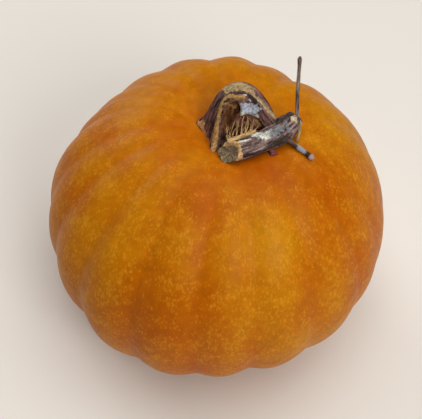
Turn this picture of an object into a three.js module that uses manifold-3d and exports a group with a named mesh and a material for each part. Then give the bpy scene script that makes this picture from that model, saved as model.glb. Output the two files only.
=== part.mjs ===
// A ripe, shallow-ribbed pumpkin with its dried stalk. The stalk still holds a cut length of the vine
// that it grew on, with the shoots that sprang from the vine's joint.
// Millimetres, +Z up. The origin is on the resting plane, under the middle of the whole.
import * as THREE from "three";
import { mergeVertices } from "three/addons/utils/BufferGeometryUtils.js";
import Module from "manifold-3d";

const wasm = await Module();
wasm.setup();

// Driving dimensions of the fruit
const grooveRadius = 88.2; // round the widest part, measured in the grooves
const halfHeight = 74.6; // of the egg-smooth form before its two dimples
const equatorHeight = 69.4; // the widest part above the resting plane
const stalkDimple = { depth: 14, width: 26 };
const blossomDimple = { depth: 10, width: 20 };
const blossomScar = { height: 2.2, width: 4.5 };
const lean = new THREE.Vector2(6.5, 6.4); // how far the top grew over, to +X and to +Y
// The plan isn't quite round: it bulges by these shares of the radius, towards these azimuths in degrees.
const twoSided = { share: 0.01, azimuth: -15 };
const threeSided = { share: 0.01, azimuth: -2 };

// The ribs, anticlockwise from the first groove: the rib's width in degrees, the height of its crest, and how
// much deeper than the rest the groove before it is
const firstGroove = -2.3;
const ribs = [
  [16, 0.8, 0],
  [18, 1.5, -0.2],
  [21, 1.4, -0.8],
  [20, 2.0, 1.5],
  [23, 4.3, -0.7],
  [22, 3.1, -0.7],
  [17, 1.5, 0.4],
  [12, 0.5, 1.1],
  [11, 0.9, 0.6],
  [22, 3.1, 0.5],
  [17, 1.7, -0.8],
  [21, 1.7, 0.8],
  [23, 3.3, 0.8],
  [22, 3.2, -0.2],
  [20, 1.8, 0],
  [22, 2.4, 1.1],
  [21, 2.3, 0],
  [15, 0.8, 0.1],
  [17, 0.3, 0.2],
];
const deeperOver = 6; // degrees to either side of a groove
const grooveSoftness = 0.02; // rounds the bottom of each groove
const ribFade = { stalk: 55, scar: 34 }; // the ribs die out within about these radii of the two

// Driving dimensions of what grows on top, each beside the section that uses them: the stalk, the vine, the
// shoots and the fibres. Their routes are control points of one Bezier curve, measured from the stalk's foot.

// Clearance left where two grown-together pieces meet
const gap = 0.3;

const radians = THREE.MathUtils.degToRad;
const { lerp, radToDeg, smoothstep } = THREE.MathUtils;
const bell = (x, width) => Math.exp(-((x / width) ** 2));
const rising = (t, [from, to]) => smoothstep(t, from, to);
// Smallest turn between two directions round a stem, in degrees
const turnBetween = (a, b) => ((((a - b) % 360) + 540) % 360) - 180;

// Closed surface from rings of points: each ring is joined to the next, and the first and the last are
// closed on a centre point.
function closedSkin(rings, firstCentre, lastCentre) {
  const around = rings[0].length;
  const points = [...rings.flat(), firstCentre, lastCentre];
  const first = points.length - 2;
  const last = points.length - 1;
  const lastRing = (rings.length - 1) * around;
  const triangles = [];
  for (let j = 0; j < around; j++) {
    const k = (j + 1) % around;
    triangles.push(first, k, j);
    for (let i = 0; i + 1 < rings.length; i++) {
      const a = i * around;
      const b = a + around;
      triangles.push(a + j, a + k, b + k, a + j, b + k, b + j);
    }
    triangles.push(last, lastRing + j, lastRing + k);
  }
  const geometry = new THREE.BufferGeometry().setFromPoints(points);
  geometry.setIndex(triangles);
  return geometry;
}

function solidOf(geometry) {
  const bare = geometry.clone();
  bare.deleteAttribute("normal");
  bare.deleteAttribute("uv");
  const merged = mergeVertices(bare, 1e-4);
  return new wasm.Manifold(
    new wasm.Mesh({
      numProp: 3,
      vertProperties: merged.getAttribute("position").array,
      triVerts: new Uint32Array(merged.getIndex().array),
    }),
  );
}

// A cut can leave loose scraps, so only the largest body is kept.
function geometryOf(solid) {
  const body = solid.decompose().reduce((best, other) => (other.volume() > best.volume() ? other : best));
  const mesh = body.getMesh();
  const geometry = new THREE.BufferGeometry();
  geometry.setAttribute("position", new THREE.BufferAttribute(mesh.vertProperties, 3));
  geometry.setIndex(new THREE.BufferAttribute(mesh.triVerts, 1));
  return geometry;
}

const pumpkin = new THREE.Group();

function addPiece(name, geometry, colour, roughness) {
  const material = new THREE.MeshStandardMaterial({ color: colour, roughness, metalness: 0 });
  const mesh = new THREE.Mesh(geometry, material);
  mesh.name = name;
  pumpkin.add(mesh);
}

// Fruit: an ellipsoid with a rise for each rib, a dimple round the stalk, and below it a dimple with a
// corky scar.
function ribRise(azimuth) {
  let rise = 0;
  let groove = firstGroove;
  for (const [width, height, deeper] of ribs) {
    const turn = (((azimuth - groove) % 360) + 360) % 360;
    if (turn < width) {
      const across = Math.sin((Math.PI * turn) / width);
      rise += height * (Math.sqrt(across ** 2 + grooveSoftness) - Math.sqrt(grooveSoftness));
    }
    rise -= deeper * bell(turnBetween(azimuth, groove), deeperOver);
    groove += width;
  }
  return rise;
}

function fruitPoint(polar, azimuth, grow = 0) {
  const flatRadius = grooveRadius * Math.sin(polar);
  const flatHeight = halfHeight * Math.cos(polar);
  const outward = new THREE.Vector2(flatRadius / grooveRadius ** 2, flatHeight / halfHeight ** 2).normalize();
  const fade = flatHeight > 0 ? ribFade.stalk : ribFade.scar;
  const rise = ribRise(azimuth) * (1 - bell(flatRadius, fade)) + grow;
  const bulge =
    twoSided.share * Math.cos(2 * radians(azimuth - twoSided.azimuth)) +
    threeSided.share * Math.cos(3 * radians(azimuth - threeSided.azimuth));
  const radius = flatRadius * (1 + bulge) + outward.x * rise;
  let z = flatHeight + outward.y * rise;
  if (flatHeight > 0) {
    z -= stalkDimple.depth * bell(radius, stalkDimple.width);
  } else {
    z += blossomDimple.depth * bell(radius, blossomDimple.width);
    z -= blossomScar.height * bell(radius, blossomScar.width);
  }
  const shift = lean.clone().multiplyScalar((Math.max(z, 0) / halfHeight) ** 2);
  return new THREE.Vector3(
    radius * Math.cos(radians(azimuth)) + shift.x,
    radius * Math.sin(radians(azimuth)) + shift.y,
    Math.max(z + equatorHeight, -grow),
  );
}

// Rings lie closer together in the two dimples than round the flanks. Each stretch is first, last and step.
const polarStretches = [
  [4, 26, 4.5],
  [31, 150, 8.5],
  [155.5, 176.5, 3],
];
const stepsPerRib = 6;

function fruitSkin(grow) {
  const azimuths = [];
  let groove = firstGroove;
  for (const [width] of ribs) {
    for (let i = 0; i < stepsPerRib; i++) azimuths.push(groove + (width * i) / stepsPerRib);
    groove += width;
  }
  const rings = [];
  for (const [first, last, step] of polarStretches) {
    for (let polar = first; polar <= last; polar += step) {
      rings.push(azimuths.map((azimuth) => fruitPoint(radians(polar), azimuth, grow)));
    }
  }
  rings.reverse(); // bottom to top, so that the faces look outwards
  return closedSkin(rings, fruitPoint(Math.PI, 0, grow), fruitPoint(0, 0, grow));
}

addPiece("fruit", fruitSkin(0), 0xbb6b12, 0.45);
const grownFruit = solidOf(fruitSkin(gap));
const stalkFoot = fruitPoint(0, 0); // the middle of the dimple, where the stalk grew

// A stem of any section swept along a curve. At a point t of its length, section(t, angle) is the distance
// from the curve, and angle 0 looks to the front, -Y.
function stem(curve, section, sides, steps, grow = 0) {
  const front = new THREE.Vector3(0, -1, 0);
  const rings = [];
  for (let i = 0; i <= steps; i++) {
    const t = i / steps;
    const tangent = curve.getTangent(t);
    const ahead = front.clone().addScaledVector(tangent, -front.dot(tangent)).normalize();
    const aside = tangent.clone().cross(ahead);
    const ring = [];
    for (let j = 0; j < sides; j++) {
      const angle = (2 * Math.PI * j) / sides;
      const reach = section(t, radToDeg(angle)) + grow;
      const point = curve.getPoint(t);
      point.addScaledVector(ahead, reach * Math.cos(angle));
      point.addScaledVector(aside, reach * Math.sin(angle));
      ring.push(point);
    }
    rings.push(ring);
  }
  const start = curve.getPoint(0).addScaledVector(curve.getTangent(0), -grow);
  const end = curve.getPoint(1).addScaledVector(curve.getTangent(1), grow);
  return solidOf(closedSkin(rings, start, end));
}

function curveFromFoot(route) {
  return new THREE.CubicBezierCurve3(...route.map((point) => new THREE.Vector3(...point).add(stalkFoot)));
}

// Stalk: five ridges run from spreading toes, up over a bend, and down to the vine. The side that faces the
// front has dried and torn open into a hollow between two of the ridges, with a wall of it hanging behind.
const stalkRoute = [
  [0, 0, -4],
  [0, 3, 31.5],
  [11, 8, 27.5],
  [23.8, -6.5, 10.2],
];
const stalkRadius = { foot: 12, shaft: 7.5, end: 4, flare: 0.16, taper: [0.45, 1] };
const stalkToe = { length: 2.9, at: 0.05, spread: 0.06 };
const ridges = [
  // direction at the foot, and its drift over the bend, in degrees
  [338, -24],
  [50, 34],
  [120, 20],
  [185, 5],
  [249, -5],
];
const ridgeWidth = 17;
const ridgeShare = { furrow: 0.82, ridge: 0.28 }; // of the stalk's radius
const bendSpan = [0.08, 0.35];
const hollow = {
  depth: 0.7,
  facing: 14,
  drift: 4,
  halfWidth: 30,
  widening: 28,
  opens: [0.06, 0.15],
  shuts: [0.42, 0.62],
};
// A flap of skin that hangs from the arm of the stalk over the hollow
const flap = { length: 2.8, at: 0.69, spread: 0.09, facing: 42, width: 24 };
const hollowWall = { reach: 12, facing: 98, spread: 18, begins: [0.3, 0.55], ends: [0.85, 1] };

function stalkSection(t, angle) {
  const bend = rising(t, bendSpan);
  const shaft = lerp(stalkRadius.shaft, stalkRadius.end, rising(t, stalkRadius.taper));
  const radius = shaft + (stalkRadius.foot - stalkRadius.shaft) * bell(t, stalkRadius.flare);
  let ridge = 0;
  for (const [foot, drift] of ridges) ridge += bell(turnBetween(angle, foot + drift * bend), ridgeWidth);
  const toe = stalkToe.length * bell(t - stalkToe.at, stalkToe.spread) * ridge;

  const aside = turnBetween(angle, hollow.facing + hollow.drift * bend);
  const open = rising(t, hollow.opens) * (1 - rising(t, hollow.shuts));
  const sunk = hollow.depth * open * Math.exp(-((aside / (hollow.halfWidth + hollow.widening * bend)) ** 4));
  const under = rising(t, hollowWall.begins) * (1 - rising(t, hollowWall.ends));
  const wall = hollowWall.reach * under * bell(turnBetween(angle, hollowWall.facing), hollowWall.spread);
  const skin = flap.length * bell(t - flap.at, flap.spread) * bell(turnBetween(angle, flap.facing), flap.width);
  return radius * (ridgeShare.furrow + ridgeShare.ridge * ridge) * (1 - sunk) + toe + wall + skin;
}

const stalkSolid = (grow) => stem(curveFromFoot(stalkRoute), stalkSection, 40, 26, grow);

// Shoots: each tapers from its root to a blunt or knobbed end.
const shoots = {
  tendril: {
    route: [[35.4, -0.8, 14], [35, 5, 23], [35.6, 11, 31], [36, 16.2, 37.8]],
    radius: { root: 1.05, tip: 0.8, knob: 0.25 },
    sides: 8,
    steps: 16,
    colour: 0x4b3634,
  },
  dry_strand: {
    route: [[35.2, -3, 16.6], [37.3, -5.5, 15.5], [36.1, -8.8, 11.3], [35.2, -10.4, 6.8]],
    radius: { root: 0.9, tip: 0.6, knob: 0 },
    sides: 8,
    steps: 8,
    colour: 0xae9872,
  },
  leaf_stalk_stub: {
    route: [[28.5, -10, 11], [32, -13.8, 9.1], [36.8, -15.2, 7.2], [42.8, -20, 4.8]],
    radius: { root: 1.5, tip: 1.1, knob: 0.6 },
    sides: 10,
    steps: 14,
    colour: 0x3f3036,
  },
};
const knobAt = { from: 0.93, spread: 0.06 };
const tipRounding = { from: 0.94, length: 0.07, least: 0.2 };

function shootSolid({ route, radius, sides, steps }, grow = 0) {
  const section = (t) => {
    const intoTip = Math.max(t - tipRounding.from, 0) / tipRounding.length;
    const rounding = Math.max(Math.sqrt(1 - intoTip ** 2), tipRounding.least);
    return (lerp(radius.root, radius.tip, t) + radius.knob * bell(t - knobAt.from, knobAt.spread)) * rounding;
  };
  return stem(curveFromFoot(route), section, sides, steps, grow);
}

// Vine: a fluted length, cut off at a slant at its left end, with a swollen joint near its torn right end.
// The stub of a root stands on its under side.
const vineRoute = [
  [-4.5, -21.6, 10.1],
  [14, -18.2, 10.1],
  [27, -10.5, 10.1],
  [34.4, -1.5, 14.6],
];
const vineRadius = { whole: 5.1, tornOff: 0.9, tear: [0.85, 1] };
const vineJoint = { at: 0.74, swell: 0.7, spread: 0.14 };
const vineFlutes = { count: 5, depth: 0.07, twist: 60 };
const vineCut = { at: [2.6, -20.3, 10.1], facing: [-0.617, -0.533, 0.58] };
const rootStub = {
  route: [[21.6, -13, 8.6], [22.6, -15.6, 6.8], [23.2, -17.1, 6.2], [24, -19.2, 6.2]],
  radius: { root: 1.6, tip: 1.7, knob: 0.4 },
  sides: 10,
  steps: 8,
};

function vineSection(t, angle) {
  const swell = vineJoint.swell * bell(t - vineJoint.at, vineJoint.spread);
  const radius = vineRadius.whole + swell - vineRadius.tornOff * rising(t, vineRadius.tear);
  return radius * (1 + vineFlutes.depth * Math.cos(radians(vineFlutes.count * angle + vineFlutes.twist * t)));
}

function vineSolid(grow) {
  const facing = new THREE.Vector3(...vineCut.facing).normalize();
  const cutAt = new THREE.Vector3(...vineCut.at).add(stalkFoot).dot(facing) + grow;
  const length = stem(curveFromFoot(vineRoute), vineSection, 24, 20, grow);
  return length.trimByPlane(facing.negate().toArray(), -cutAt).add(shootSolid(rootStub, grow));
}

// Torn fibres: a strip of rind along the back of the vine, from which strands reach up into the stalk's
// hollow.
const rindStrip = [[1.6, -15.8, 12.9], [6, -15.6, 14.7], [10, -13.6, 15.2], [15, -10.4, 14.6]];
const stripRadius = { left: 1.5, right: 0.7 };
const strands = [
  // share of the strip where a strand is rooted, and where it ends
  [0.05, [-1.5, -4.5, 17.5]],
  [0.14, [2.5, -5, 22.5]],
  [0.3, [2, -4.5, 18.5]],
  [0.42, [6.5, -4, 23.5]],
  [0.6, [6.8, -3.6, 18.5]],
  [0.72, [12.5, -4, 21.5]],
  [0.92, [13.6, -4.2, 19.5]],
];
const strandRadius = { root: 0.55, tip: 0.3 };
const strandBow = { from: 0.35, to: 0.7, by: new THREE.Vector3(0, -1.4, 0.4) }; // shares of a strand's length

function fibreSolid() {
  const strip = curveFromFoot(rindStrip);
  let solid = stem(strip, (t) => lerp(stripRadius.left, stripRadius.right, t), 8, 12);
  for (const [root, tip] of strands) {
    const from = strip.getPoint(root);
    const to = new THREE.Vector3(...tip).add(stalkFoot);
    const early = from.clone().lerp(to, strandBow.from).add(strandBow.by);
    const late = from.clone().lerp(to, strandBow.to).add(strandBow.by);
    const strand = new THREE.CubicBezierCurve3(from, early, late, to);
    solid = solid.add(stem(strand, (t) => lerp(strandRadius.root, strandRadius.tip, t), 6, 7));
  }
  return solid;
}

// Pieces that grew together are cut where they meet, each by a slightly larger copy of its neighbour.
const grownVine = vineSolid(gap);
const grownStalk = stalkSolid(gap);
const clearOfAll = (solid) => solid.subtract(grownFruit).subtract(grownVine).subtract(grownStalk);

addPiece("stalk", geometryOf(stalkSolid(0).subtract(grownFruit).subtract(grownVine)), 0x4a342b, 0.8);
addPiece("vine_stub", geometryOf(vineSolid(0).subtract(grownFruit)), 0x5a4843, 0.75);
for (const [name, shoot] of Object.entries(shoots)) {
  addPiece(name, geometryOf(clearOfAll(shootSolid(shoot))), shoot.colour, 0.75);
}
addPiece("torn_fibres", geometryOf(clearOfAll(fibreSolid())), 0xb48d50, 0.85);

// The origin goes under the middle of the whole.
const middle = new THREE.Box3().setFromObject(pumpkin).getCenter(new THREE.Vector3());
pumpkin.position.set(-middle.x, -middle.y, 0);

export default pumpkin;
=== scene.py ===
# A ripe, shallow-ribbed pumpkin with its dried stalk, which still holds a cut length of the vine that it grew
# on. Metres, +Z up, in the CAD's own place. Sizes are in millimetres until a mesh is made.
import math

import bpy
import numpy as np
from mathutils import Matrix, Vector


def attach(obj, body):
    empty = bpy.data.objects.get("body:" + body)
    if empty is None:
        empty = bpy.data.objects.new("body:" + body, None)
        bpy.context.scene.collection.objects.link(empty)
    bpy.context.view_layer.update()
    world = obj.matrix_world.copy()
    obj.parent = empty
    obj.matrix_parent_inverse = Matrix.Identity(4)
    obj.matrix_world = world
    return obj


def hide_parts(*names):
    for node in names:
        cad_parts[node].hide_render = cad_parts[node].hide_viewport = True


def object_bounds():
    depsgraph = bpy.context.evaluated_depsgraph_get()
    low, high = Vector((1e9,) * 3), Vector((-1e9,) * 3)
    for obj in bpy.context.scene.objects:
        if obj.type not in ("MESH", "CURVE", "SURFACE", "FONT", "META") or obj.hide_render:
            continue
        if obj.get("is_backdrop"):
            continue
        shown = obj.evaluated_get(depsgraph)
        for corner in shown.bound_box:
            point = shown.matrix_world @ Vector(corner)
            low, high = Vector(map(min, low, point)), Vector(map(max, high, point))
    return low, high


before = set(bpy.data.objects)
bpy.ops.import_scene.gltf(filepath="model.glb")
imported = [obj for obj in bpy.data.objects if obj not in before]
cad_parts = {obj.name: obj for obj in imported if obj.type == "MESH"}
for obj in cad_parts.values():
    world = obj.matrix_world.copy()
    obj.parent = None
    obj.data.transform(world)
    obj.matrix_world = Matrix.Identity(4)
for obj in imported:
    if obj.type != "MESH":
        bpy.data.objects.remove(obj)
cad_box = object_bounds()

# Studio: the camera looks down at the pumpkin's front. Broad lamps over it, at its front right and behind it
# at the left, and a pale room round it all, give soft light. The floor is plain matt paper.
CAMERA_ELEVATION = 52.5  # degrees above the floor
CAMERA_DISTANCE = 0.540  # from the middle of the fruit
CAMERA_LENS = 84.9  # mm, on a sensor of the width below
CAMERA_SENSOR = 36.0
CAMERA_SHIFT = (-0.0107, 0.0154)
FRUIT_MIDDLE = Vector((-0.0002, -0.0010, 0.0694))
LAMPS = {
    # azimuth and elevation in degrees, distance and width in metres
    "top_lamp": {"azimuth": 0, "elevation": 78, "distance": 1.5, "width": 1.6, "watts": 18.0},
    "front_lamp": {"azimuth": 299, "elevation": 38, "distance": 1.5, "width": 0.6, "watts": 9.4},
    "back_lamp": {"azimuth": 128, "elevation": 26, "distance": 1.5, "width": 0.9, "watts": 8.0},
}
LAMP_COLOUR = 0xFFFAF4
ROOM = {"colour": 0xF6F4F2, "strength": 0.07}
FLOOR = {"half": 3.0, "colour": 0xECEAE6, "roughness": 0.9}


def linear(hex_colour):
    """Linear RGBA from an sRGB hex value: c / 12.92 below 0.04045, ((c + 0.055) / 1.055) ** 2.4 above it."""
    channels = [((hex_colour >> shift) & 255) / 255 for shift in (16, 8, 0)]
    return tuple(c / 12.92 if c < 0.04045 else ((c + 0.055) / 1.055) ** 2.4 for c in channels) + (1.0,)


def add(tree, kind, inputs=None, **settings):
    """Adds a node with its settings. An input, by name or number, takes a value or another node's output."""
    node = tree.nodes.new(kind)
    for name, value in settings.items():
        setattr(node, name, value)
    for name, value in (inputs or {}).items():
        if isinstance(value, bpy.types.NodeSocket):
            tree.links.new(value, node.inputs[name])
        else:
            node.inputs[name].default_value = value
    return node


def new_material(name):
    """A material of that name with no nodes yet, and its node tree."""
    material = bpy.data.materials.new(name)
    material.use_nodes = True
    material.node_tree.nodes.clear()
    return material, material.node_tree


scene = bpy.context.scene
scene.view_settings.view_transform = "Standard"
view = bpy.data.cameras.new("camera")
view.sensor_width = CAMERA_SENSOR
view.lens = CAMERA_LENS
view.shift_x, view.shift_y = CAMERA_SHIFT
camera = bpy.data.objects.new("camera", view)
raised = math.radians(CAMERA_ELEVATION)
camera.location = FRUIT_MIDDLE + CAMERA_DISTANCE * Vector((0, -math.cos(raised), math.sin(raised)))
camera.rotation_euler = (math.pi / 2 - raised, 0, 0)
scene.collection.objects.link(camera)
scene.camera = camera

for name, lamp in LAMPS.items():
    light = bpy.data.lights.new(name, "AREA")
    light.energy = lamp["watts"]
    light.size = lamp["width"]
    light.color = linear(LAMP_COLOUR)[:3]
    turn, rise = math.radians(lamp["azimuth"]), math.radians(lamp["elevation"])
    way = Vector((math.cos(rise) * math.cos(turn), math.cos(rise) * math.sin(turn), math.sin(rise)))
    stand = bpy.data.objects.new(name, light)
    stand.location = FRUIT_MIDDLE + lamp["distance"] * way
    stand.rotation_euler = (-way).to_track_quat("-Z", "Y").to_euler()
    scene.collection.objects.link(stand)
scene.world = bpy.data.worlds.new("pale_room")
scene.world.use_nodes = True
room = scene.world.node_tree.nodes["Background"]
room.inputs["Color"].default_value = linear(ROOM["colour"])
room.inputs["Strength"].default_value = ROOM["strength"]

half = FLOOR["half"]
floor_mesh = bpy.data.meshes.new("floor")
corners = [(-half, -half, 0), (half, -half, 0), (half, half, 0), (-half, half, 0)]
floor_mesh.from_pydata(corners, [], [(0, 1, 2, 3)])
floor = bpy.data.objects.new("floor", floor_mesh)
scene.collection.objects.link(floor)
floor_paper, tree = new_material("matt_white_paper")  # even and without gloss, so that it only takes shadows
shader = add(tree, "ShaderNodeBsdfPrincipled",
             {"Base Color": linear(FLOOR["colour"]), "Roughness": FLOOR["roughness"]})
add(tree, "ShaderNodeOutputMaterial", {"Surface": shader.outputs[0]})
floor_mesh.materials.append(floor_paper)
floor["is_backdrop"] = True

# Fruit: a firm, waxy rind over thick flesh, grown in 19 shallow ribs. It closes round the stalk in a dimple
# and round the corky scar of its blossom in another, and its own weight flattened the ring that it rests on.
GROOVE_RADIUS = 88.2
HALF_HEIGHT = 74.6
EQUATOR_HEIGHT = 69.4
STALK_DIMPLE = {"depth": 14, "width": 26}
BLOSSOM_DIMPLE = {"depth": 10, "width": 20}
BLOSSOM_SCAR = {"height": 2.2, "width": 4.5}
LEAN = (6.5, 6.4)  # how far the top grew over
TWO_SIDED = {"share": 0.01, "azimuth": -15}
THREE_SIDED = {"share": 0.01, "azimuth": -2}
FIRST_GROOVE = -2.3
# Anticlockwise from the first groove: a rib's width in degrees, the height of its crest, and how much deeper
# than the rest the groove before it is.
RIBS = np.array([
    (16, 0.8, 0), (18, 1.5, -0.2), (21, 1.4, -0.8), (20, 2.0, 1.5), (23, 4.3, -0.7),
    (22, 3.1, -0.7), (17, 1.5, 0.4), (12, 0.5, 1.1), (11, 0.9, 0.6), (22, 3.1, 0.5),
    (17, 1.7, -0.8), (21, 1.7, 0.8), (23, 3.3, 0.8), (22, 3.2, -0.2), (20, 1.8, 0),
    (22, 2.4, 1.1), (21, 2.3, 0), (15, 0.8, 0.1), (17, 0.3, 0.2),
])
DEEPER_OVER = 6  # degrees to either side of a groove
GROOVE_SOFTNESS = 0.02
RIB_FADE = {"stalk": 55, "scar": 34}
PLAN_MIDDLE = np.array([0.1858, 0.9905, 0])  # middle of the whole, from the middle of the widest ring
STEPS_PER_RIB = 20
RINGS = {"count": 210, "from": 179.2, "to": 0.8}  # polar angles in degrees, from the underside up
UNEVEN = [(34, 0.35), (11, 0.12)]  # wavelength and height of the gentle dents in the rind
DENTS_BEGIN = {"above_floor": (0, 14), "off_axis": (12, 40)}
UNROLLED = {"radius": 85, "stretch": 0.55}  # specks come out longer along the ribs by 1 / stretch
MARK_SPREAD = {"no_crest": 40, "stalk_end": 44, "scar": 6}  # from the fruit's axis
# Patches that ripened to yellow (above 0) or red: azimuth and polar angle of the middle, spread, amount.
RIPENED = np.array([
    (220, 45, 25, 0.6), (295, 46, 15, 1.0), (291, 66, 12, 0.5), (250, 73, 24, -1.1), (299, 23, 14, -1.4),
    (327, 40, 18, -0.8), (259, 30, 11, -0.8), (15, 47, 22, 1.3), (299, 98, 20, 0.7), (186, 18, 20, -0.2),
    (331, 71, 22, -0.5), (140, 34, 16, 0.9), (218, 80, 18, 0.3), (85, 34, 22, 0.8), (280, 52, 16, 0.5),
    (269, 62, 9, -0.6), (262, 94, 14, -0.6),
])
WAVES = {"count": 14, "lift": 2.4}  # the mean of that many sines seldom passes 1 / lift


def bell(x, width):
    """1 at x = 0, falling off to both sides as exp(-(x / width)^2)."""
    return np.exp(-((x / width) ** 2))


def rising(t, span):
    """0 before the span and 1 after it, with the smooth step s^2 (3 - 2s) between."""
    s = np.clip((t - span[0]) / (span[1] - span[0]), 0, 1)
    return s * s * (3 - 2 * s)


def turn_between(a, b):
    """Smallest turn from b to a, in degrees: their difference, taken round to between -180 and 180."""
    return (a - b + 540) % 360 - 180


def waves(points, length, seed):
    """Smooth noise from about -1 to 1: the mean of sine waves of about that length in random directions."""
    draw = np.random.default_rng(seed)
    count = WAVES["count"]
    ways = draw.normal(size=(count, 3))
    ways *= (2 * np.pi / length / draw.uniform(0.7, 1.4, count) / np.linalg.norm(ways, axis=1))[:, None]
    return np.sin(points @ ways.T + draw.uniform(0, 2 * np.pi, count)).mean(-1) * WAVES["lift"]


def rib_form(azimuth):
    """Height of the ribs: across one it is an arch, sqrt(sin^2 + softness), times the height of its crest,
    and a deeper groove sinks by a bell. The second value is the share of the way from groove to crest."""
    width, height, deeper = RIBS.T
    groove = FIRST_GROOVE + np.cumsum(width) - width
    rib = np.searchsorted(groove - FIRST_GROOVE, (azimuth - FIRST_GROOVE) % 360, side="right") - 1
    rib = np.clip(rib, 0, len(RIBS) - 1)
    across = np.sin(np.pi * ((azimuth - groove[rib]) % 360) / width[rib])
    arch = np.sqrt(across**2 + GROOVE_SOFTNESS) - np.sqrt(GROOVE_SOFTNESS)
    sunk = (deeper * bell(turn_between(np.asarray(azimuth)[..., None], groove), DEEPER_OVER)).sum(-1)
    return height[rib] * arch - sunk, across


def fruit_point(polar, azimuth):
    """An ellipsoid by polar angle and azimuth, raised along its normal by the ribs, which fade towards stalk
    and scar. Its top shifts with the square of the height, and its underside ends at the resting plane."""
    flat_radius = GROOVE_RADIUS * np.sin(polar)
    flat_height = HALF_HEIGHT * np.cos(polar)
    out_r, out_z = flat_radius / GROOVE_RADIUS**2, flat_height / HALF_HEIGHT**2
    size = np.hypot(out_r, out_z)
    fade = np.where(flat_height > 0, RIB_FADE["stalk"], RIB_FADE["scar"])
    rise = rib_form(azimuth)[0] * (1 - bell(flat_radius, fade))
    turn = np.radians(azimuth)
    bulge = TWO_SIDED["share"] * np.cos(2 * (turn - math.radians(TWO_SIDED["azimuth"])))
    bulge = bulge + THREE_SIDED["share"] * np.cos(3 * (turn - math.radians(THREE_SIDED["azimuth"])))
    radius = flat_radius * (1 + bulge) + out_r / size * rise
    z = flat_height + out_z / size * rise
    top = STALK_DIMPLE["depth"] * bell(radius, STALK_DIMPLE["width"])
    under = BLOSSOM_DIMPLE["depth"] * bell(radius, BLOSSOM_DIMPLE["width"])
    under = under - BLOSSOM_SCAR["height"] * bell(radius, BLOSSOM_SCAR["width"])
    z = z + np.where(flat_height > 0, -top, under)
    over = (np.maximum(z, 0) / HALF_HEIGHT) ** 2
    x = radius * np.cos(turn) + LEAN[0] * over
    y = radius * np.sin(turn) + LEAN[1] * over
    return np.stack([x, y, np.maximum(z + EQUATOR_HEIGHT, 0)], -1)


def build_piece(name, skins):
    """One mesh of closed skins. A skin is rings of points, each joined to the next, the two points that
    close its first and last ring, and its marks, values for each point that the material reads by name."""
    points, faces, marks, start = [], [], {}, 0
    for rings, first, last, skin_marks in skins:
        count, around = rings.shape[:2]
        j = np.arange(around)
        k = (j + 1) % around
        low = start + around * np.arange(count - 1)[:, None]
        high = low + around
        centre = np.full(around, start + count * around)
        faces += np.stack([low + j, low + k, high + k, high + j], -1).reshape(-1, 4).tolist()
        faces += np.stack([centre, start + k, start + j], -1).tolist()
        faces += np.stack([centre + 1, high[-1] + j, high[-1] + k], -1).tolist()
        points += [rings.reshape(-1, 3), np.array([first, last])]
        start += count * around + 2
        for mark, values in skin_marks.items():
            flat = np.broadcast_to(values, (count, around) + np.shape(values)[2:])
            flat = flat.reshape(count * around, -1)
            ends = [flat[:around].mean(0, keepdims=True), flat[-around:].mean(0, keepdims=True)]
            marks.setdefault(mark, []).append(np.concatenate([flat, *ends]))
    mesh = bpy.data.meshes.new(name)
    mesh.from_pydata(((np.concatenate(points) - PLAN_MIDDLE) / 1000).tolist(), [], faces)
    mesh.shade_smooth()
    for mark, values in marks.items():
        values = np.concatenate(values)
        kind, field = ("FLOAT_VECTOR", "vector") if values.shape[1] == 3 else ("FLOAT", "value")
        layer = mesh.attributes.new(mark, kind, "POINT")
        layer.data.foreach_set(field, values.ravel().astype(np.float32))
    piece = bpy.data.objects.new(name, mesh)
    scene.collection.objects.link(piece)
    return piece


def finish_piece(piece, material, nodes):
    """Gives a piece its material and its place in the frame: what it rides on and the CAD parts that it
    replaces."""
    piece.data.materials.append(material)
    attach(piece, "root")
    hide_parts(*nodes)


width = RIBS[:, :1]
groove = FIRST_GROOVE + np.cumsum(width)[:, None] - width
azimuth = (groove + width * np.arange(STEPS_PER_RIB) / STEPS_PER_RIB).ravel()
polar = np.radians(np.linspace(RINGS["from"], RINGS["to"], RINGS["count"]))[:, None]
rind_points = fruit_point(polar, azimuth[None, :])
from_axis = GROOVE_RADIUS * np.sin(polar) + 0 * azimuth
loose = rising(rind_points[..., 2], DENTS_BEGIN["above_floor"]) * rising(from_axis, DENTS_BEGIN["off_axis"])
for length, height in UNEVEN:
    rind_points[..., 2] += height * loose * waves(rind_points, length, seed=int(length))
# The rind was stretched most along the ribs, so the specks there are nearly twice as long as wide.
turn = np.radians(azimuth)[None, :] + 0 * polar
girth = UNROLLED["radius"] * np.sqrt(np.sin(polar))
down = UNROLLED["stretch"] * UNROLLED["radius"] * polar + 0 * turn
facing, tilt, spread, amount = RIPENED.T
apart = np.linalg.norm(rind_points[..., None, :] - fruit_point(np.radians(tilt), facing), axis=-1)
marks = {
    "unrolled": np.stack([girth * np.cos(turn), girth * np.sin(turn), down], -1) / 1000,
    "crest": rib_form(azimuth)[1][None, :] * (1 - bell(from_axis, MARK_SPREAD["no_crest"])),
    "stalk_end": bell(from_axis, MARK_SPREAD["stalk_end"]) * (np.cos(polar) > 0),
    "scar": bell(from_axis, MARK_SPREAD["scar"]) * (np.cos(polar) < 0),
    "ripened": (amount * bell(apart, spread)).sum(-1),
}
rind = build_piece("fruit_rind", [(rind_points, fruit_point(np.pi, 0.0), fruit_point(0.0, 0.0), marks)])
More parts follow.
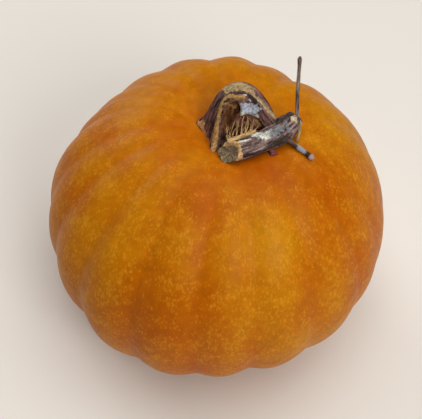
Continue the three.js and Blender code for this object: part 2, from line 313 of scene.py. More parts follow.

# Ripe rind: a hard skin under a thin natural wax. Its orange is uneven over tens of millimetres, with a finer
# mottle and pale corky specks about a millimetre across. The ribs' crests are painted lighter and yellower
# and the grooves redder, as painted light and shade on the ribs. The wax gives a broad dull gloss and a pale
# sheen.
RIND = {"orange": 0xB76603, "yellow": 0xC37E07, "red": 0xAF5500, "speck": 0xDEA026, "scar": 0x8A6034}
RIND_NOISE = {"broad": (20, 2.0), "mottle": (4.5, 4.0), "crowd": (9, 2.0), "pores": (2.2, 3.0)}  # mm, detail
RIPENING_AND_CREST_LIGHT = {"broad": 2.4, "on_crest": 0.3, "yellow": (1.2, 2.5), "red": (1.4, 0.1)}
MOTTLE = {"span": (0.3, 0.7), "shades": (0.92, 1.12)}
SPECKS_MORE = {"on_crest": 0.12, "in_red": -0.14, "near_stalk": -0.24}
# A cell's width in mm, what is taken off so that some cells stay empty, a speck's size and its strength. The
# real ones go down to dust, which doesn't show in the render, so the smallest are drawn 0.5 mm wide.
SPECKS = [(1.0, 0.05, 2.0, 0.38), (1.6, 0.125, 1.8, 0.36), (2.6, 0.275, 1.1, 0.3)]
LEAST_SPECK = 0.001
PORES = {"Strength": 0.25, "Distance": 0.0004}
WAX = {"Roughness": 0.42, "IOR": 1.45, "Specular IOR Level": 0.08,
       "Sheen Weight": 0.01, "Sheen Roughness": 0.5, "Sheen Tint": linear(0xFFE2D0)}
waxy_rind, tree = new_material("waxy_pumpkin_rind")
place = add(tree, "ShaderNodeTexCoord").outputs["Object"]
broad, mottle, many, pores = (
    add(tree, "ShaderNodeTexNoise", {"Vector": place, "Scale": 1000 / size, "Detail": detail}).outputs[0]
    for size, detail in RIND_NOISE.values()
)
ripened, crest_mark, stalk_end, scar_mark = (
    add(tree, "ShaderNodeAttribute", attribute_name=mark).outputs["Fac"]
    for mark in ("ripened", "crest", "stalk_end", "scar")
)
# The crests' share pushes the crests towards the lighter yellow: painted light on the crests, with the
# grooves left redder as painted shade.
for source, share in ((broad, RIPENING_AND_CREST_LIGHT["broad"]), (crest_mark, RIPENING_AND_CREST_LIGHT["on_crest"])):
    ripened = add(tree, "ShaderNodeMath", {0: source, 1: share, 2: ripened},
                  operation="MULTIPLY_ADD").outputs[0]
to_yellow, to_red = (
    add(tree, "ShaderNodeMapRange", {"Value": ripened, "From Min": start, "From Max": full}).outputs[0]
    for start, full in (RIPENING_AND_CREST_LIGHT["yellow"], RIPENING_AND_CREST_LIGHT["red"])
)
colour = linear(RIND["orange"])
for share, tone in ((to_yellow, "yellow"), (to_red, "red")):
    colour = add(tree, "ShaderNodeMix", {0: share, 6: colour, 7: linear(RIND[tone])},
                 data_type="RGBA").outputs[2]
shade = add(tree, "ShaderNodeMapRange", {
    "Value": mottle, "From Min": MOTTLE["span"][0], "From Max": MOTTLE["span"][1],
    "To Min": MOTTLE["shades"][0], "To Max": MOTTLE["shades"][1],
}).outputs[0]
colour = add(tree, "ShaderNodeMix", {0: 1.0, 6: colour, 7: shade}, data_type="RGBA",
             blend_type="MULTIPLY").outputs[2]
# Specks: each cell of a cell pattern may hold one. Crests hold more of them, red skin and the stalk's end
# fewer.
for source, share in zip((crest_mark, to_red, stalk_end), SPECKS_MORE.values()):
    many = add(tree, "ShaderNodeMath", {0: source, 1: share, 2: many}, operation="MULTIPLY_ADD").outputs[0]
unrolled = add(tree, "ShaderNodeAttribute", attribute_name="unrolled").outputs["Vector"]
for spacing, empty, size, strength in SPECKS:
    cell = add(tree, "ShaderNodeTexVoronoi", {"Vector": unrolled, "Scale": 1000 / spacing})
    chosen = add(tree, "ShaderNodeSeparateColor", {0: cell.outputs["Color"]}).outputs[0]
    reach = add(tree, "ShaderNodeMath", {0: chosen, 1: many, 2: -empty}, operation="MULTIPLY_ADD").outputs[0]
    reach = add(tree, "ShaderNodeMath", {0: reach, 1: size}, operation="MULTIPLY").outputs[0]
    reach = add(tree, "ShaderNodeMath", {0: reach, 1: LEAST_SPECK}, operation="MAXIMUM").outputs[0]
    near = add(tree, "ShaderNodeMapRange", {
        "Value": cell.outputs["Distance"], "From Min": reach, "From Max": 0.0, "To Max": strength,
    }, interpolation_type="SMOOTHSTEP").outputs[0]
    colour = add(tree, "ShaderNodeMix", {0: near, 6: colour, 7: linear(RIND["speck"])},
                 data_type="RGBA").outputs[2]
colour = add(tree, "ShaderNodeMix", {0: scar_mark, 6: colour, 7: linear(RIND["scar"])},
             data_type="RGBA").outputs[2]
bump = add(tree, "ShaderNodeBump", {**PORES, "Height": pores}).outputs[0]
shader = add(tree, "ShaderNodeBsdfPrincipled", {**WAX, "Base Color": colour, "Normal": bump})
add(tree, "ShaderNodeOutputMaterial", {"Surface": shader.outputs[0]})
finish_piece(rind, waxy_rind, ["fruit"])

# Stalk: the dried, five-ridged stem that fed the fruit, with toes that grip the rind. It bends over to the
# vine, and its front has split into a hollow, where the brittle rind of the stem stands round torn pith.
STALK_FOOT = fruit_point(0.0, 0.0)
STALK_ROUTE = [(0, 0, -4), (0, 3, 31.5), (11, 8, 27.5), (23.8, -6.5, 10.2)]
STALK_RADIUS = {"foot": 12, "shaft": 7.5, "end": 4, "flare": 0.16, "taper": (0.45, 1)}
STALK_TOE = {"length": 2.9, "at": 0.05, "spread": 0.06}
RIDGES = [(338, -24), (50, 34), (120, 20), (185, 5), (249, -5)]  # direction at the foot, drift over the bend
RIDGE_WIDTH = 17
RIDGE_SHARE = {"furrow": 0.82, "ridge": 0.28}
BEND_SPAN = (0.08, 0.35)
HOLLOW = {"depth": 0.7, "facing": 14, "drift": 4, "half_width": 30, "widening": 28,
          "opens": (0.06, 0.15), "shuts": (0.42, 0.62)}
FLAP = {"length": 4.2, "at": 0.66, "spread": 0.09, "facing": 40, "width": 24}  # skin over the hollow
HOLLOW_WALL = {"reach": 12, "facing": 98, "spread": 18, "begins": (0.3, 0.55), "ends": (0.85, 1)}
STALK_BARK = {"radius": 8, "length": 7, "creases": [(0.28, 2.6, 3), (0.16, 1.3, 4)]}
LIP = {"height": 0.8, "at": 0.4, "spread": 0.22, "begins": (0.1, 0.2), "least": 0.7, "ragged": (0.5, 3, 5)}
STALK_GRID = {"along": 170, "around": 170}
# Brush strokes over the stalk: a width, and then the corners of its path, in mm from the stalk's foot.
STALK_STROKES = {
    "torn_edge": [
        (1.9, (-5.5, -13.4, 4.3), (-5.0, -10.8, 6.8), (-4.2, -6.9, 11.2)),
        (1.5, (-4.2, -6.9, 11.2), (-2.9, -3.4, 18.7), (-0.9, -0.4, 24.2)),
        (1.3, (-0.7, -0.1, 24.4), (2.1, 0.6, 27.0), (5.7, -1.8, 28.6), (8.9, -2.3, 28.6)),
        (0.9, (0.6, -2.1, 24.3), (5.0, -2.4, 25.4), (8.6, -2.2, 25.2)),
        (0.8, (1.1, -1.8, 24.2), (2.4, -0.8, 22.2), (3.5, 0.9, 19.9), (4.3, 1.3, 18.7), (5.7, 1.3, 18.0)),
        (1.4, (15.4, -4.0, 14.9), (16.9, -4.3, 12.7)),
    ],
    "crown": [
        (2.9, (0.8, 5.2, 27.5), (5.8, 4.4, 29.8), (10.7, 3.1, 28.8)),
        (1.35, (10.7, 3.1, 28.8), (15.5, 0.6, 26.0), (20.4, -1.3, 20.5), (24.3, -3.2, 15.8)),
    ],
    "dark_split": [
        (0.9, (6.4, 0.4, 28.8), (9.1, 1.2, 28.9), (11.4, -1.2, 28.4)),
        (1.6, (12.2, -1.9, 27.4), (14.4, -2.4, 25.6)),
    ],
    # Small pale painted highlights on the crown's split.
    "painted_glint": [(0.8, (9.4, -0.9, 29.0), (10.1, -0.6, 28.8)), (0.7, (11.4, -2.0, 27.4), (12.2, -2.2, 26.6))],
    "skin_patch": [(3.9, (9.0, -3.0, 22.3), (13.6, -3.3, 21.6))],
    "patch_rim": [
        (1.3, (6.6, -2.6, 22.2), (7.6, -4.2, 20.5), (9.7, -4.4, 19.0), (12.8, -3.8, 17.8),
         (15.3, -4.2, 17.8)),
    ],
    "red_wall": [(3.6, (8.4, -0.5, 14.8), (8.7, -2.6, 10.6)), (3.6, (13.5, -2.5, 15.6), (12.5, -3.2, 11.5))],
    "toes": [
        (2.3, (-11.9, 3.1, 4.6), (-10.9, 2.4, 5.4)),
        (2.0, (-6.2, -14.6, 2.6), (-5.2, -12.6, 5.2)),
        (1.3, (-11.9, 3.1, 4.0), (-9.6, -1.0, 2.4), (-8.2, -5.2, 1.2), (-6.8, -10.5, 1.6)),
    ],
}


def route_point(route, t):
    """Point and direction of a cubic Bezier curve over four control points, at the shares t of it."""
    p = np.asarray(route, float) + STALK_FOOT
    t = np.asarray(t, float)[..., None]
    s = 1 - t
    point = s**3 * p[0] + 3 * s * s * t * p[1] + 3 * s * t * t * p[2] + t**3 * p[3]
    along = s * s * (p[1] - p[0]) + 2 * s * t * (p[2] - p[1]) + t * t * (p[3] - p[2])
    return point, along / np.linalg.norm(along, axis=-1, keepdims=True)


def stem_rings(route, section, t, angle):
    """Rings of a stem: at the share t of its route, section(t, angle) is the distance from the route, and
    angle 0 looks to the front. Also gives the same points on the stem pulled straight, for its grain."""
    t, angle = np.broadcast_arrays(t, angle)
    centre, along = route_point(route, t)
    front = np.array([0, -1.0, 0])
    ahead = front - (along @ front)[..., None] * along
    ahead /= np.linalg.norm(ahead, axis=-1, keepdims=True)
    aside = np.cross(along, ahead)
    reach = section(t, angle)[..., None]
    turn = np.radians(angle)[..., None]
    length = np.linalg.norm(np.diff(route_point(route, np.linspace(0, 1, 50))[0], axis=0), axis=1).sum()
    straight = np.concatenate([reach * np.cos(turn), reach * np.sin(turn), t[..., None] * length], -1)
    return centre + reach * (np.cos(turn) * ahead + np.sin(turn) * aside), straight


def strokes(points, paths):
    """How much the nearest of some brush strokes covers each point: a bell of the distance from a path of
    straight lines."""
    cover = 0
    for width, *corners in paths:
        corners = np.array(corners) + STALK_FOOT
        for a, b in zip(corners[:-1], corners[1:]):
            share = np.clip((points - a) @ (b - a) / ((b - a) @ (b - a)), 0, 1)
            away = np.linalg.norm(points - a - share[..., None] * (b - a), axis=-1)
            cover = np.maximum(cover, bell(away, width))
    return cover


def tube(t, angle, radius, length):
    """Points of a plain tube of that radius and length, on which a noise stands for the bark's creases."""
    turn = np.radians(angle)
    return np.stack([radius * np.cos(turn) + 0 * t, radius * np.sin(turn) + 0 * t, length * t + 0 * turn], -1)


def creases(t, angle, bark):
    """Sum of the bark's layers of creases, waves of a height, a width and a seed, on a tube that is shorter
    than the stem, so that they run along it."""
    strip = tube(t, angle, bark["radius"], bark["length"])
    return sum(height * waves(strip, wide, seed) for height, wide, seed in bark["creases"])


def stalk_ridge(t, angle):
    """Sum of a bell across each ridge, whose direction drifts as the stalk bends."""
    bend = rising(t, BEND_SPAN)
    return sum(bell(turn_between(angle, foot + drift * bend), RIDGE_WIDTH) for foot, drift in RIDGES)


def stalk_hollow(t, angle):
    """Share of the full depth of the hollow: a flat-bottomed channel, exp(-(aside / half width)^4)."""
    bend = rising(t, BEND_SPAN)
    aside = turn_between(angle, HOLLOW["facing"] + HOLLOW["drift"] * bend)
    half = HOLLOW["half_width"] + HOLLOW["widening"] * bend
    return rising(t, HOLLOW["opens"]) * (1 - rising(t, HOLLOW["shuts"])) * np.exp(-((aside / half) ** 4))


def stalk_section(t, angle):
    """A shaft that flares at the foot, with five ridges and their toes, less the hollow, plus the wall beside
    it and the flap over it, which are each a height times a bell along the stalk and another round it."""
    taper = rising(t, STALK_RADIUS["taper"])
    shaft = STALK_RADIUS["shaft"] + (STALK_RADIUS["end"] - STALK_RADIUS["shaft"]) * taper
    radius = shaft + (STALK_RADIUS["foot"] - STALK_RADIUS["shaft"]) * bell(t, STALK_RADIUS["flare"])
    ridge = stalk_ridge(t, angle)
    toe = STALK_TOE["length"] * bell(t - STALK_TOE["at"], STALK_TOE["spread"]) * ridge
    sunk = HOLLOW["depth"] * stalk_hollow(t, angle)
    under = rising(t, HOLLOW_WALL["begins"]) * (1 - rising(t, HOLLOW_WALL["ends"]))
    wall_round = bell(turn_between(angle, HOLLOW_WALL["facing"]), HOLLOW_WALL["spread"])
    wall = HOLLOW_WALL["reach"] * under * wall_round
    flap_round = bell(turn_between(angle, FLAP["facing"]), FLAP["width"])
    flap = FLAP["length"] * bell(t - FLAP["at"], FLAP["spread"]) * flap_round
    return radius * (RIDGE_SHARE["furrow"] + RIDGE_SHARE["ridge"] * ridge) * (1 - sunk) + toe + wall + flap


def stalk_surface(t, angle):
    """The stalk's form with its dried bark: lengthwise creases, and a ragged lip round the hollow, a bell of
    the hollow's depth times a noise."""
    height, wide, seed = LIP["ragged"]
    strip = tube(t, angle, STALK_BARK["radius"], STALK_BARK["length"])
    ragged = LIP["least"] + height * waves(strip, wide, seed)
    lip = LIP["height"] * bell(stalk_hollow(t, angle) - LIP["at"], LIP["spread"]) * rising(t, LIP["begins"])
    return stalk_section(t, angle) + creases(t, angle, STALK_BARK) + lip * ragged


t = np.linspace(0, 1, STALK_GRID["along"])[:, None]
angle = np.linspace(0, 360, STALK_GRID["around"], endpoint=False)[None, :]
rings, straight = stem_rings(STALK_ROUTE, stalk_surface, t, angle)
ends = route_point(STALK_ROUTE, [0.0, 1.0])[0]
marks = {"grain": straight / 1000, "hollow": stalk_hollow(t, angle)}
marks.update({mark: strokes(rings, paths) for mark, paths in STALK_STROKES.items()})
stalk = build_piece("stalk_dried", [(rings, ends[0], ends[1], marks)])

# Dried stem: dead plant tissue, dark and dull where its bark is left and tan where the bark has split off.
# Its fibres are under 0.1 mm thick, too fine to show, so they are drawn as streaks of 0.6 to 1.6 mm.
STEM = {
    "bark": 0x271813, "bark_light": 0x836059, "pith": 0x5A351C, "pith_light": 0x94693A,
    "wall": 0x6A2C22, "wall_light": 0xA2846A,
}
# The small pale strokes on the crown's split are painted highlights, laid in with the patches below.
STEM_PATCHES = {
    "crown": 0xA08C66, "dark_split": 0x2A1C1A, "painted_glint": 0xC9C4C8, "skin_patch": 0xACB6C6,
    "patch_rim": 0xC4BFAC, "torn_edge": 0xA4824A, "toes": 0xC09A6C,
}
STEM_SIZES = {"streak": 1.6, "crumb": 1.7, "pith_span": (0.42, 0.6), "cover": 0.92, "relief": 0.0006}
GRAIN_STRETCH = 0.15  # streaks are longer along the stem by 1 over this
STREAK_SPAN = (0.38, 0.66)
DRY_SURFACE = {"Roughness": 0.8, "IOR": 1.45, "Specular IOR Level": 0.3}
DRY_RELIEF = 0.6
PATCH_EDGE = {"ragged": 1.6, "span": (1.15, 1.5)}
CRUST = {"grain": 0.8, "grain_span": (0.32, 0.68), "grain_shades": (0.6, 1.5),
         "broad_span": (0.35, 0.65), "broad_shades": (0.88, 1.22)}


def dry_bark(name, dark, light, streak_width):
    """The start of every dried material here: streaks of two colours along the stem."""
    material, tree = new_material(name)
    grain = add(tree, "ShaderNodeAttribute", attribute_name="grain").outputs["Vector"]
    stretched = add(tree, "ShaderNodeMapping",
                    {"Vector": grain, "Scale": (1.0, 1.0, GRAIN_STRETCH)}).outputs[0]
    streak = add(tree, "ShaderNodeTexNoise",
                 {"Vector": stretched, "Scale": 1000 / streak_width, "Detail": 4.0}).outputs[0]
    lit = add(tree, "ShaderNodeMapRange",
              {"Value": streak, "From Min": STREAK_SPAN[0], "From Max": STREAK_SPAN[1]}).outputs[0]
    colour = add(tree, "ShaderNodeMix", {0: lit, 6: linear(dark), 7: linear(light)},
                 data_type="RGBA").outputs[2]
    return material, tree, streak, colour


def dry_finish(tree, colour, relief, depth):
    """The end of every dried material: dull, with the relief of its streaks."""
    bump = add(tree, "ShaderNodeBump",
               {"Strength": DRY_RELIEF, "Distance": depth, "Height": relief}).outputs[0]
    shader = add(tree, "ShaderNodeBsdfPrincipled", {**DRY_SURFACE, "Base Color": colour, "Normal": bump})
    add(tree, "ShaderNodeOutputMaterial", {"Surface": shader.outputs[0]})


def paint(tree, colour, mark, over, ragged, most):
    """Lays a colour, or another node's, where a mark is strong. A noise makes the edge of it ragged."""
    start, full = PATCH_EDGE["span"]
    covered = add(tree, "ShaderNodeAttribute", attribute_name=mark).outputs["Fac"]
    covered = add(tree, "ShaderNodeMath", {0: ragged, 1: PATCH_EDGE["ragged"], 2: covered},
                  operation="MULTIPLY_ADD").outputs[0]
    share = add(tree, "ShaderNodeMapRange",
                {"Value": covered, "From Min": start, "From Max": full, "To Max": most}).outputs[0]
    return add(tree, "ShaderNodeMix", {0: share, 6: colour, 7: over}, data_type="RGBA").outputs[2]


def crumbs(tree, size):
    """Noise of crumbling tissue, the same in all directions."""
    place = add(tree, "ShaderNodeTexCoord").outputs["Object"]
    return add(tree, "ShaderNodeTexNoise", {"Vector": place, "Scale": 1000 / size, "Detail": 4.0}).outputs[0]


def crusty(tree, colour, crumb):
    """Darker pits and lighter grains, each under a millimetre wide, with broader light and dark between: the
    colour times the shades of two noises."""
    grain, broad = (
        add(tree, "ShaderNodeMapRange", {
            "Value": noise, "From Min": CRUST[part + "_span"][0], "From Max": CRUST[part + "_span"][1],
            "To Min": CRUST[part + "_shades"][0], "To Max": CRUST[part + "_shades"][1],
        }).outputs[0]
        for noise, part in ((crumbs(tree, CRUST["grain"]), "grain"), (crumb, "broad"))
    )
    shade = add(tree, "ShaderNodeMath", {0: grain, 1: broad}, operation="MULTIPLY").outputs[0]
    return add(tree, "ShaderNodeMix", {0: 1.0, 6: colour, 7: shade}, data_type="RGBA",
               blend_type="MULTIPLY").outputs[2]


dried_stem, tree, streak, colour = dry_bark(
    "dried_stem_bark", STEM["bark"], STEM["bark_light"], STEM_SIZES["streak"]
)
crumb = crumbs(tree, STEM_SIZES["crumb"])
start, full = STEM_SIZES["pith_span"]
fine = add(tree, "ShaderNodeMapRange", {"Value": streak, "From Min": start, "From Max": full}).outputs[0]
pith, wall = (
    add(tree, "ShaderNodeMix", {0: fine, 6: linear(STEM[tone]), 7: linear(STEM[tone + "_light"])},
        data_type="RGBA").outputs[2]
    for tone in ("pith", "wall")
)
laid_over = {"hollow": pith, "red_wall": wall, **{mark: linear(tone) for mark, tone in STEM_PATCHES.items()}}
for mark, over in laid_over.items():
    colour = paint(tree, colour, mark, over, crumb, STEM_SIZES["cover"])
colour = crusty(tree, colour, crumb)
dry_finish(tree, colour, streak, STEM_SIZES["relief"])
finish_piece(stalk, dried_stem, ["stalk"])

# Vine stub: a length of the main vine, cut off at a slant at its left end, where the pith shows, and torn at
# its right end beyond a swollen joint. The dark red stub of a root stands on its under side.
VINE_ROUTE = [(-4.5, -21.6, 10.1), (14, -18.2, 10.1), (27, -10.5, 10.1), (34.4, -1.5, 14.6)]
VINE_RADIUS = {"whole": 5.1, "torn_off": 0.9, "tear": (0.85, 1)}
VINE_JOINT = {"at": 0.74, "swell": 0.7, "spread": 0.14}
VINE_COLLARS = [(0.65, 5, 0.05, 38, 1.2), (0.8, 235, 0.05, 40, 0.9)]  # along, direction, spreads, height
VINE_FLUTES = {"count": 5, "depth": 0.07, "twist": 60}
VINE_BARK = {"radius": 5, "length": 7, "creases": [(0.2, 2.2, 11), (0.12, 1.1, 12)]}
VINE_GRID = {"along": 130, "around": 110}
VINE_CUT = {"at": (2.6, -20.3, 10.1), "facing": (-0.617, -0.533, 0.58), "rim": 0.3, "rim_at": (0.9, 0.08),
            "dish": 0.9, "dish_to": (0.25, 0.85), "rings": 22, "from": 0.06, "to": 0.985,
            "fibres": {"radius": 9, "length": 12}}
CUT_SEARCH = {"to": 0.5, "tries": 400}  # the cut is found on the first half of the route
ROOT_STUB = {"route": [(21.6, -13, 8.6), (22.6, -15.6, 6.8), (23.2, -17.1, 6.2), (24, -19.2, 6.2)],
             "root": 1.6, "tip": 1.7, "knob": 0.4, "sides": 24, "steps": 40}
KNOB_AT = {"from": 0.93, "spread": 0.06}
TIP_ROUNDING = {"from": 0.94, "length": 0.07, "least": 0.2}
SHOOT_BARK = {"radius": 2, "length": 5, "creases": [(0.1, 1.6, 21)]}
# Brush strokes over the vine, as on the stalk.
VINE_STROKES = {
    "pale": [
        (2.7, (15.5, -13.4, 15.2), (18.4, -14.5, 16.0), (20.8, -13.7, 16.4)),
        (1.2, (8.2, -17.8, 14.9), (12.0, -16.6, 15.4)),
    ],
    "grey": [(2.4, (22.8, -13.7, 16.2), (26.2, -11.4, 16.8)), (1.3, (29.3, -8.8, 17.8), (30.8, -11.3, 15.7))],
    # Dark strokes: the first lies on the joint's own dark bark, and the last, thin one along the vine's lower
    # front is a painted shadow line.
    "dark": [
        (3.3, (26.2, -7.2, 17.2), (30.8, -2.6, 17.8)),
        (3.2, (22.0, -17.6, 12.4), (26.6, -15.6, 13.0), (30.0, -13.4, 13.4)),
        (1.3, (9.9, -23.4, 10.4), (15.4, -21.4, 11.0), (22.8, -18.3, 10.8), (26.2, -16.3, 11.2)),
    ],
    "torn_end": [(1.8, (32.8, -5.6, 17.6), (34.6, -4.6, 15.0), (34.4, -1.5, 14.6))],
    "rim": [
        (1.5, (0.4, -16.2, 11.4), (2.8, -17.0, 13.4), (6.2, -19.4, 15.0)),
        (1.3, (6.2, -20.4, 14.9), (7.5, -22.4, 13.4), (7.4, -24.0, 11.0), (6.4, -24.6, 9.0)),
    ],
}


def vine_section(t, angle):
    """A round section that swells at the joint, bulges where shoots leave it and thins towards the tear, with
    five twisted flutes, and fine lengthwise creases in its bark."""
    swell = VINE_JOINT["swell"] * bell(t - VINE_JOINT["at"], VINE_JOINT["spread"])
    radius = VINE_RADIUS["whole"] + swell - VINE_RADIUS["torn_off"] * rising(t, VINE_RADIUS["tear"])
    for along, facing, spread, wide, height in VINE_COLLARS:
        radius = radius + height * bell(t - along, spread) * bell(turn_between(angle, facing), wide)
    twist = VINE_FLUTES["count"] * np.radians(angle) + np.radians(VINE_FLUTES["twist"] * t)
    return radius * (1 + VINE_FLUTES["depth"] * np.cos(twist)) + creases(t, angle, VINE_BARK)


def shoot_section(shoot):
    """Section of a shoot: it narrows evenly from root to tip, swells at its knob, and has a rounded end, the
    square root of 1 less the square of the way into the tip."""
    def section(t, angle):
        into_tip = np.maximum(t - TIP_ROUNDING["from"], 0) / TIP_ROUNDING["length"]
        rounding = np.maximum(np.sqrt(1 - into_tip**2), TIP_ROUNDING["least"])
        width = shoot["root"] + (shoot["tip"] - shoot["root"]) * t
        knob = shoot["knob"] * bell(t - KNOB_AT["from"], KNOB_AT["spread"])
        return (width + knob) * rounding * (1 + creases(t, angle, SHOOT_BARK))
    return section


def shoot_skin(shoot, **marks):
    """A shoot's closed skin, with its grain and any further marks."""
    t = np.linspace(0, 1, shoot["steps"])[:, None]
    angle = np.linspace(0, 360, shoot["sides"], endpoint=False)[None, :]
    rings, straight = stem_rings(shoot["route"], shoot_section(shoot), t, angle)
    ends = route_point(shoot["route"], [0.0, 1.0])[0]
    return rings, ends[0], ends[1], {"grain": straight / 1000, **marks}


# Each line along the vine starts where it last comes out of the plane of the cut.
facing = np.array(VINE_CUT["facing"]) / np.linalg.norm(VINE_CUT["facing"])
cut_at = (np.array(VINE_CUT["at"]) + STALK_FOOT) @ facing
angle = np.linspace(0, 360, VINE_GRID["around"], endpoint=False)[None, :]
tries = np.linspace(0, CUT_SEARCH["to"], CUT_SEARCH["tries"])[:, None]
beyond = stem_rings(VINE_ROUTE, vine_section, tries, angle)[0] @ facing - cut_at
last_beyond = CUT_SEARCH["tries"] - 1 - np.argmax(beyond[::-1] > 0, axis=0)
column = np.arange(VINE_GRID["around"])
above, below = beyond[last_beyond, column], beyond[last_beyond + 1, column]
cut_share = tries[last_beyond, 0] + (tries[1, 0] - tries[0, 0]) * above / (above - below)
t = cut_share + (1 - cut_share) * np.linspace(0, 1, VINE_GRID["along"])[:, None]
rings, straight = stem_rings(VINE_ROUTE, vine_section, t, angle)
end = route_point(VINE_ROUTE, 1.0)[0]
# The cut face is a dish with a raised rim, and its fibres run outwards from its middle.
middle = rings[0].mean(0)
share = np.linspace(VINE_CUT["from"], VINE_CUT["to"], VINE_CUT["rings"])[:, None]
raised_rim = VINE_CUT["rim"] * bell(share - VINE_CUT["rim_at"][0], VINE_CUT["rim_at"][1])
profile = raised_rim - VINE_CUT["dish"] * (1 - rising(share, VINE_CUT["dish_to"]))
cut_face = middle + (rings[0] - middle) * share[..., None] + profile[..., None] * facing
outwards = tube(share, angle, **VINE_CUT["fibres"])
vine_points = np.concatenate([cut_face, rings])
marks = {
    "grain": np.concatenate([outwards, straight]) / 1000,
    "cut": np.concatenate([1.0 + 0 * share, np.zeros((VINE_GRID["along"], 1))]),
    "root": np.zeros((len(vine_points), 1)),
}
marks.update({mark: strokes(vine_points, paths) for mark, paths in VINE_STROKES.items()})
no_mark = np.zeros((ROOT_STUB["steps"], 1))
stub_marks = {mark: no_mark for mark in marks if mark not in ("grain", "root")}
vine = build_piece("vine_stub_dried", [
    (vine_points, middle - VINE_CUT["dish"] * facing, end, marks),
    shoot_skin(ROOT_STUB, root=no_mark + 1, **stub_marks),
])

# Vine bark: dark purple-brown and dull, streaked along its length, with a pale fibrous cut face. Its fibres
# are drawn coarser than the real ones, as the stalk's are, so that they show.
VINE = {
    "bark": 0x32231E, "bark_light": 0xA28985, "cut": 0x675C44, "cut_light": 0x857655, "root": 0x7A3636,
    "pale": 0xD6DAD2, "grey": 0x74767C, "dark": 0x2A201B, "torn_end": 0xBEB092, "rim": 0xCCA675,
}
VINE_SIZES = {"streak": 1.4, "crumb": 1.5, "cut_span": (0.4, 0.6), "cover": 0.85, "relief": 0.0005}
vine_bark, tree, streak, colour = dry_bark(
    "dried_vine_bark", VINE["bark"], VINE["bark_light"], VINE_SIZES["streak"]
)
crumb = crumbs(tree, VINE_SIZES["crumb"])
start, full = VINE_SIZES["cut_span"]
fine = add(tree, "ShaderNodeMapRange", {"Value": streak, "From Min": start, "From Max": full}).outputs[0]
cut = add(tree, "ShaderNodeMix", {0: fine, 6: linear(VINE["cut"]), 7: linear(VINE["cut_light"])},
          data_type="RGBA").outputs[2]
# The dark mark is partly dark bark at the joint and partly a painted shadow line along the vine's lower
# front.
for mark in ("dark", "pale", "grey", "torn_end", "cut", "root", "rim"):
    over = cut if mark == "cut" else linear(VINE[mark])
    colour = paint(tree, colour, mark, over, crumb, VINE_SIZES["cover"])
colour = crusty(tree, colour, crumb)
dry_finish(tree, colour, streak, VINE_SIZES["relief"])
finish_piece(vine, vine_bark, ["vine_stub"])

# Shoots from the vine's joint: a dead tendril that stands nearly straight up, a pale strand that hangs below
# it, and the dark stub of a leaf's stalk with a knobbed end. They are dry, stiff and dull.
TENDRIL = {"route": [(35.4, -0.8, 14), (35, 5, 23), (35.6, 11, 31), (36, 16.2, 37.8)],
           "root": 1.05, "tip": 0.8, "knob": 0.25, "sides": 20, "steps": 120}
DRY_STRAND = {"route": [(35.2, -3, 16.6), (37.3, -5.5, 15.5), (36.1, -8.8, 11.3), (35.2, -10.4, 6.8)],
              "root": 0.9, "tip": 0.6, "knob": 0, "sides": 16, "steps": 60}
LEAF_STUB = {"route": [(28.5, -10, 11), (32, -13.8, 9.1), (36.8, -15.2, 7.2), (42.8, -20, 4.8)],
             "root": 1.5, "tip": 1.1, "knob": 0.6, "sides": 28, "steps": 100}
# The pale blue-grey band is a painted highlight, drawn all round the stalk.
LEAF_STUB_BANDS = {"bluish_highlight": (1.0, 0.64, 0.16), "ring": (1.2, 0.84, 0.04)}  # strength, middle and spread
LEAF_STUB_KNOB = (0.86, 0.92)
along = np.linspace(0, 1, LEAF_STUB["steps"])[:, None]
bands = {mark: most * bell(along - at, spread) for mark, (most, at, spread) in LEAF_STUB_BANDS.items()}
tendril = build_piece("tendril_dried", [shoot_skin(TENDRIL)])
strand = build_piece("dry_strand_straw", [shoot_skin(DRY_STRAND)])
leaf_stub = build_piece("leaf_stalk_dried", [
    shoot_skin(LEAF_STUB, **bands, knob_end=rising(along, LEAF_STUB_KNOB))
])

# Dried shoot: a woody tendril, grey-brown, whose light streaks are worn bark. They are drawn 0.9 mm wide,
# coarser than the real ones, so that they show.
SHOOT_TONES = {"dark": 0x46312C, "light": 0x9C8C80, "streak_width": 0.9}
SHOOT_RELIEF = 0.0003  # metres, as Bump reads it
shoot_bark, tree, streak, colour = dry_bark("dried_shoot", **SHOOT_TONES)
dry_finish(tree, colour, streak, SHOOT_RELIEF)
finish_piece(tendril, shoot_bark, ["tendril"])

# Dried leaf stalk: darker and browner, with a pale blue-grey band that is a painted highlight, a dark ring
# and a pink-grey end that healed over.
LEAF_STALK_TONES = {"dark": 0x402C26, "light": 0x78604F, "streak_width": 0.9}
LEAF_STALK_PATCHES = {"bluish_highlight": 0x9AA2B0, "knob_end": 0xAC9696, "ring": 0x2E2222}
LEAF_STALK_COVER = 0.9
twig_bark, tree, streak, colour = dry_bark("dried_leaf_stalk", **LEAF_STALK_TONES)
for mark, tone in LEAF_STALK_PATCHES.items():
    colour = paint(tree, colour, mark, linear(tone), streak, LEAF_STALK_COVER)
dry_finish(tree, colour, streak, SHOOT_RELIEF)
finish_piece(leaf_stub, twig_bark, ["leaf_stalk_stub"])

# Pale straw: a shoot whose bark is gone, so the bare stem shows, light and matt, with fine streaks.
STRAW_TONES = {"dark": 0x8E7650, "light": 0xC8B086, "streak_width": 0.6}
STRAW_RELIEF = 0.0002
straw, tree, streak, colour = dry_bark("pale_straw", **STRAW_TONES)
dry_finish(tree, colour, streak, STRAW_RELIEF)
finish_piece(strand, straw, ["dry_strand"])

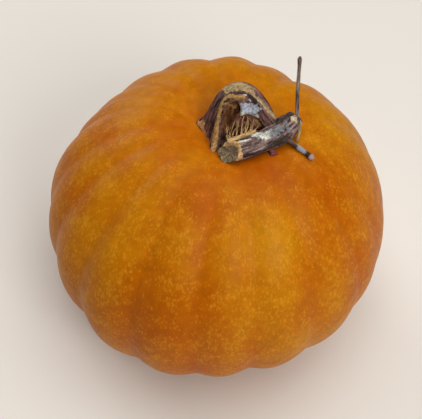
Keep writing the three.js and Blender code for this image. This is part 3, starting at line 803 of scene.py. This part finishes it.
# Torn fibres: a strip of rind along the back of the vine, from which strands reach up into the stalk's
# hollow. They are bare plant fibre, torn out as the stalk dried and split.
RIND_STRIP = {"route": [(1.6, -15.8, 12.9), (6, -15.6, 14.7), (10, -13.6, 15.2), (15, -10.4, 14.6)],
              "root": 1.5, "tip": 0.7, "knob": 0, "sides": 20, "steps": 60}
# Most strands are short: a draw to the power of "short" gives the height. "lean" is added to both bends.
STRANDS = {"count": 22, "seed": 7, "rooted": (0.02, 0.95), "drift": (-2.0, 4.0), "depth": (-6.0, -2.0),
           "height": (10.0, 19.0), "short": 1.8, "bends": (0.35, 0.7), "bow": 1.4, "lean": (0, -1.2, 0.4),
           "radius": (0.14, 0.46), "tip": 0.5, "sides": 7, "steps": 14}
skins = [shoot_skin(RIND_STRIP)]
draw = np.random.default_rng(STRANDS["seed"])
low, high = STRANDS["height"]
first_bend, second_bend = STRANDS["bends"]
for share in np.linspace(*STRANDS["rooted"], STRANDS["count"]):
    start = route_point(RIND_STRIP["route"], share)[0] - STALK_FOOT
    height = low + (high - low) * draw.uniform() ** STRANDS["short"]
    tip = np.array([start[0] + draw.uniform(*STRANDS["drift"]), draw.uniform(*STRANDS["depth"]), height])
    bows = draw.normal(0, STRANDS["bow"], (2, 3)) + STRANDS["lean"]
    first = start + first_bend * (tip - start) + bows[0]
    second = start + second_bend * (tip - start) + bows[1]
    route = [start, first, second, tip]
    root = draw.uniform(*STRANDS["radius"])
    skins.append(shoot_skin({"route": route, "root": root, "tip": STRANDS["tip"] * root, "knob": 0,
                             "sides": STRANDS["sides"], "steps": STRANDS["steps"]}))
fibres = build_piece("torn_fibres_golden", skins)

# Golden plant fibre: clean bast, light gold and matt, brown where it is still stained, which is drawn in
# streaks of 0.7 mm, coarser than real ones, so that they show.
FIBRE_TONES = {"dark": 0x8A663A, "light": 0xE4C48C, "streak_width": 0.7}
golden_fibre, tree, streak, colour = dry_bark("golden_plant_fibre", **FIBRE_TONES)
dry_finish(tree, colour, streak, STRAW_RELIEF)
finish_piece(fibres, golden_fibre, ["torn_fibres"])

size = {"cad": [list(c) for c in cad_box], "visual": [list(c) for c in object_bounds()]}
